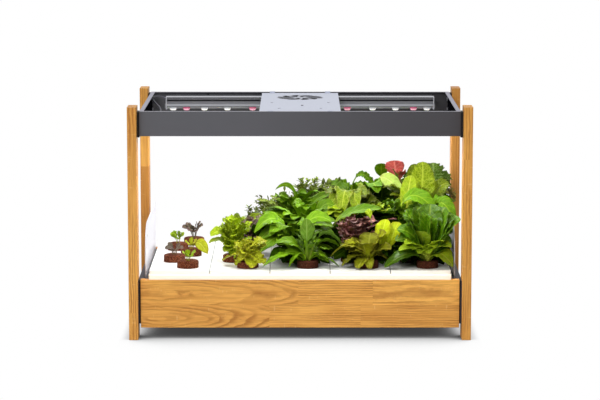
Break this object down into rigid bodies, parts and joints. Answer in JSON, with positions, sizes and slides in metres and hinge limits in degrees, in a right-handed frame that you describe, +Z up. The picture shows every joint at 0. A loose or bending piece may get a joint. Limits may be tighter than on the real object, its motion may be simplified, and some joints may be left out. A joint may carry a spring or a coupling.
{
  "type": "countertop hydroponic garden",
  "caption": "Oak-framed countertop hydroponic garden: water tub with lift-out planting trays of leafy greens under an open metal lamp frame with LED bars and a vented cover.",
  "frame": {"origin": "middle of the footprint, on the worktop that the posts stand on", "axes": "+X to the right seen from the front, +Y towards the back, +Z up; the front board faces -Y"},
  "size_m": [0.62, 0.39, 0.424],
  "materials": {
    "oak": "oiled finger-jointed oak, satin",
    "anthracite": "powder coated, fine satin",
    "black_block": "moulded, matt",
    "zinc_steel": "zinc plated",
    "tub_white": "moulded, satin",
    "tray_white": "moulded, satin",
    "soil_plug": "pressed peat and fibre, rough",
    "seedling_leaf": "living leaf, semi-matt",
    "lettuce_leaf": "living leaf, semi-matt",
    "spinach_leaf": "living leaf, semi-gloss",
    "mixed_leaf": "living leaf, semi-matt",
    "romaine_leaf": "living leaf, semi-gloss",
    "guard_sheet": "thin translucent sheet",
    "raw_aluminium": "extruded, satin",
    "led_strip": "white solder mask",
    "clear_lens": "moulded lens, gloss",
    "red_lens": "moulded lens, gloss",
    "cover_paint": "powder coated, light grey, satin",
    "fan_black": "moulded, satin",
    "button_grey": "moulded, satin",
    "lead_grey": "sheath, matt"
  },
  "bodies": {
    "root": {"post_front_left": "oak", "post_front_right": "oak", "post_rear_left": "oak", "post_rear_right": "oak", "front_board": "oak", "rear_board": "oak", "side_plate_left": "anthracite", "side_plate_right": "anthracite", "board_pads": "black_block", "corner_brackets": "zinc_steel", "base_bolts": "zinc_steel", "water_tub": "tub_white", "side_guard_left": "guard_sheet", "side_guard_right": "guard_sheet", "lamp_front_panel": "anthracite", "lamp_rear_panel": "anthracite", "lamp_side_left": "anthracite", "lamp_side_right": "anthracite", "lamp_spacers": "black_block", "lamp_bolts": "zinc_steel", "cable_bush": "black_block", "heat_sink_front": "raw_aluminium", "heat_sink_rear": "raw_aluminium", "bar_end_plates": "raw_aluminium", "led_board_front": "led_strip", "led_board_rear": "led_strip", "white_lenses": "clear_lens", "red_lenses": "red_lens", "cover_plate": "cover_paint", "cover_screws": "zinc_steel", "driver_case": "raw_aluminium", "fan_frame": "fan_black", "lamp_lead": "lead_grey", "power_inlet": "fan_black"},
    "tray_1": {"tray_1": "tray_white", "plugs_1": "soil_plug", "plants_1": "seedling_leaf"},
    "tray_2": {"tray_2": "tray_white", "plugs_2": "soil_plug", "plants_2": "lettuce_leaf"},
    "tray_3": {"tray_3": "tray_white", "plugs_3": "soil_plug", "plants_3": "spinach_leaf"},
    "tray_4": {"tray_4": "tray_white", "plugs_4": "soil_plug", "plants_4": "mixed_leaf"},
    "tray_5": {"tray_5": "tray_white", "plugs_5": "soil_plug", "plants_5": "romaine_leaf"},
    "fan_rotor": {"fan_rotor": "fan_black"},
    "power_button": {"power_button": "button_grey"}
  },
  "joints": [
    {"name": "tray_1_lift", "type": "slide", "parent": "root", "child": "tray_1", "axis": [0, 0, 1], "range_m": [0, 0.06]},
    {"name": "tray_2_lift", "type": "slide", "parent": "root", "child": "tray_2", "axis": [0, 0, 1], "range_m": [0, 0.06]},
    {"name": "tray_3_lift", "type": "slide", "parent": "root", "child": "tray_3", "axis": [0, 0, 1], "range_m": [0, 0.06]},
    {"name": "tray_4_lift", "type": "slide", "parent": "root", "child": "tray_4", "axis": [0, 0, 1], "range_m": [0, 0.06]},
    {"name": "tray_5_lift", "type": "slide", "parent": "root", "child": "tray_5", "axis": [0, 0, 1], "range_m": [0, 0.06]},
    {"name": "fan_spin", "type": "hinge", "parent": "root", "child": "fan_rotor", "pos_m": [0, 0.08, 0.405], "axis": [0, 0, 1], "continuous": true},
    {"name": "power_press", "type": "slide", "parent": "root", "child": "power_button", "axis": [0, 0, -1], "range_m": [0, 0.001], "stiffness_N_per_m": 300, "springref_m": -0.0005}
  ]
}
